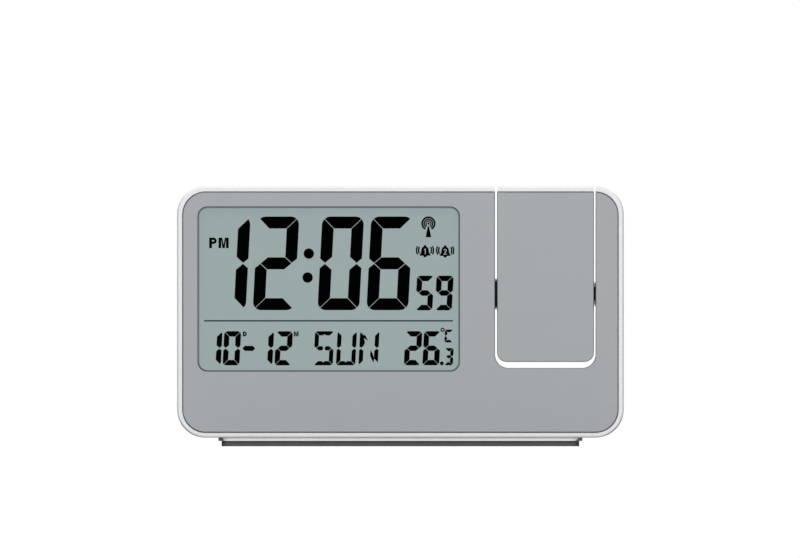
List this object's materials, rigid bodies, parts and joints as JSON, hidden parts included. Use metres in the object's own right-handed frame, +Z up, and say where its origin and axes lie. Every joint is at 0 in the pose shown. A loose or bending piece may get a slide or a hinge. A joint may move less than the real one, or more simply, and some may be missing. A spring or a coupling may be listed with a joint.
{
  "type": "projection alarm clock",
  "caption": "Bedside alarm clock with a flat liquid-crystal front and a tilting projector arm hinged in a slot of the case.",
  "frame": {"origin": "on the table, under the middle of the case", "axes": "+Z up, +X to the right as the display is read, +Y to the back; the display faces -Y"},
  "size_m": [0.15, 0.033, 0.0874],
  "materials": {
    "case_white": "white moulded plastic, fine satin",
    "panel_grey": "matte silver-grey plate",
    "window_clear": "clear acrylic pane",
    "gasket_black": "dark gasket",
    "lcd": "grey-green reflective display with black segments",
    "light_guide": "milky light guide",
    "inner_white": "plain white moulding",
    "elastomer": "layered connector rubber",
    "circuit_board": "green solder mask",
    "resin_black": "black potting resin",
    "steel": "zinc-plated steel",
    "black_plastic": "black moulded plastic",
    "ferrite": "dull sintered ferrite",
    "copper_wire": "enamelled copper winding",
    "cell_wrap": "plain shrink-wrapped cell",
    "foot_silver": "light glossy plastic",
    "rubber_black": "matte black rubber",
    "hinge_black": "black acetal",
    "wire_black": "insulated harness",
    "key_white": "white key, fine satin",
    "key_grey": "light grey key",
    "lamp_clear": "clear lamp body",
    "lens_glass": "coated optical lens",
    "small_lcd": "small transmissive display",
    "ring_black": "black ribbed plastic"
  },
  "bodies": {
    "case": {"front_shell": "case_white", "rear_shell": "case_white", "front_panel": "panel_grey", "lcd_window": "window_clear", "window_gasket": "gasket_black", "lcd_glass": "lcd", "lcd_backlight": "light_guide", "lcd_holder": "inner_white", "zebra_strips": "elastomer", "main_board": "circuit_board", "chip_blob": "resin_black", "crystal": "steel", "board_screws": "steel", "button_board": "circuit_board", "tact_switches": "black_plastic", "slide_switch": "steel", "snooze_switch": "black_plastic", "buzzer": "black_plastic", "antenna_rod": "ferrite", "antenna_coil": "copper_wire", "temperature_sensor": "resin_black", "dc_jack": "black_plastic", "battery_cells": "cell_wrap", "battery_springs": "steel", "battery_contacts": "steel", "foot_plate": "foot_silver", "rubber_foot": "rubber_black", "housing_screws": "steel", "left_hinge_bush": "hinge_black", "right_hinge_bush": "hinge_black", "hinge_washers": "steel", "case_wires": "wire_black", "wire_connector": "inner_white"},
    "arm": {"arm_front_plate": "panel_grey", "arm_front_shell": "case_white", "arm_rear_shell": "case_white", "left_trunnion": "hinge_black", "right_trunnion": "hinge_black", "hinge_clips": "steel", "barrel_front_half": "black_plastic", "barrel_rear_half": "black_plastic", "lamp_board": "circuit_board", "projection_lamp": "lamp_clear", "condenser_lens": "lens_glass", "projection_lcd": "small_lcd", "arm_screws": "steel", "arm_wires": "wire_black"},
    "focus": {"focus_ring": "ring_black"},
    "lens": {"lens_cell": "black_plastic", "projection_lens": "lens_glass"},
    "snooze": {"snooze_bar": "key_white"},
    "switch": {"switch_knob": "black_plastic"},
    "door": {"battery_door": "case_white"},
    "mode_key": {"mode_button": "key_grey"},
    "alarm_1_key": {"alarm_1_button": "key_grey"},
    "alarm_2_key": {"alarm_2_button": "key_grey"},
    "up_key": {"up_button": "key_grey"},
    "down_key": {"down_button": "key_grey"},
    "flip_key": {"flip_button": "key_grey"},
    "reset_key": {"reset_button": "key_grey"}
  },
  "joints": [
    {"name": "arm_tilt", "type": "hinge", "parent": "case", "child": "arm", "pos_m": [0.0487, -0.0082, 0.0511], "axis": [1, 0, 0], "range_deg": [-90, 90]},
    {"name": "focus_turn", "type": "hinge", "parent": "arm", "child": "focus", "pos_m": [0.0487, 0, 0.084], "axis": [0, 0, 1], "range_deg": [-144, 144]},
    {"name": "lens_travel", "type": "slide", "parent": "arm", "child": "lens", "axis": [0, 0, 1], "range_m": [-0.002, 0.002]},
    {"name": "snooze_press", "type": "slide", "parent": "case", "child": "snooze", "axis": [0, 0, -1], "range_m": [0, 0.0008], "stiffness_N_per_m": 400, "springref_m": -0.001},
    {"name": "mode_press", "type": "slide", "parent": "case", "child": "mode_key", "axis": [0, -1, 0], "range_m": [0, 0.0006], "stiffness_N_per_m": 300, "springref_m": -0.0006},
    {"name": "alarm_1_press", "type": "slide", "parent": "case", "child": "alarm_1_key", "axis": [0, -1, 0], "range_m": [0, 0.0006], "stiffness_N_per_m": 300, "springref_m": -0.0006},
    {"name": "alarm_2_press", "type": "slide", "parent": "case", "child": "alarm_2_key", "axis": [0, -1, 0], "range_m": [0, 0.0006], "stiffness_N_per_m": 300, "springref_m": -0.0006},
    {"name": "up_press", "type": "slide", "parent": "case", "child": "up_key", "axis": [0, -1, 0], "range_m": [0, 0.0006], "stiffness_N_per_m": 300, "springref_m": -0.0006},
    {"name": "down_press", "type": "slide", "parent": "case", "child": "down_key", "axis": [0, -1, 0], "range_m": [0, 0.0006], "stiffness_N_per_m": 300, "springref_m": -0.0006},
    {"name": "flip_press", "type": "slide", "parent": "case", "child": "flip_key", "axis": [0, -1, 0], "range_m": [0, 0.0006], "stiffness_N_per_m": 300, "springref_m": -0.0006},
    {"name": "reset_press", "type": "slide", "parent": "case", "child": "reset_key", "axis": [0, -1, 0], "range_m": [0, 0.0006], "stiffness_N_per_m": 300, "springref_m": -0.0006},
    {"name": "switch_slide", "type": "slide", "parent": "case", "child": "switch", "axis": [1, 0, 0], "range_m": [0, 0.004]},
    {"name": "door_lift", "type": "slide", "parent": "case", "child": "door", "axis": [0, 1, 0], "range_m": [0, 0.025]}
  ],
  "couplings": [
    {"joint": "focus_turn", "follows": "lens_travel", "rad_per_m": 1250}
  ]
}
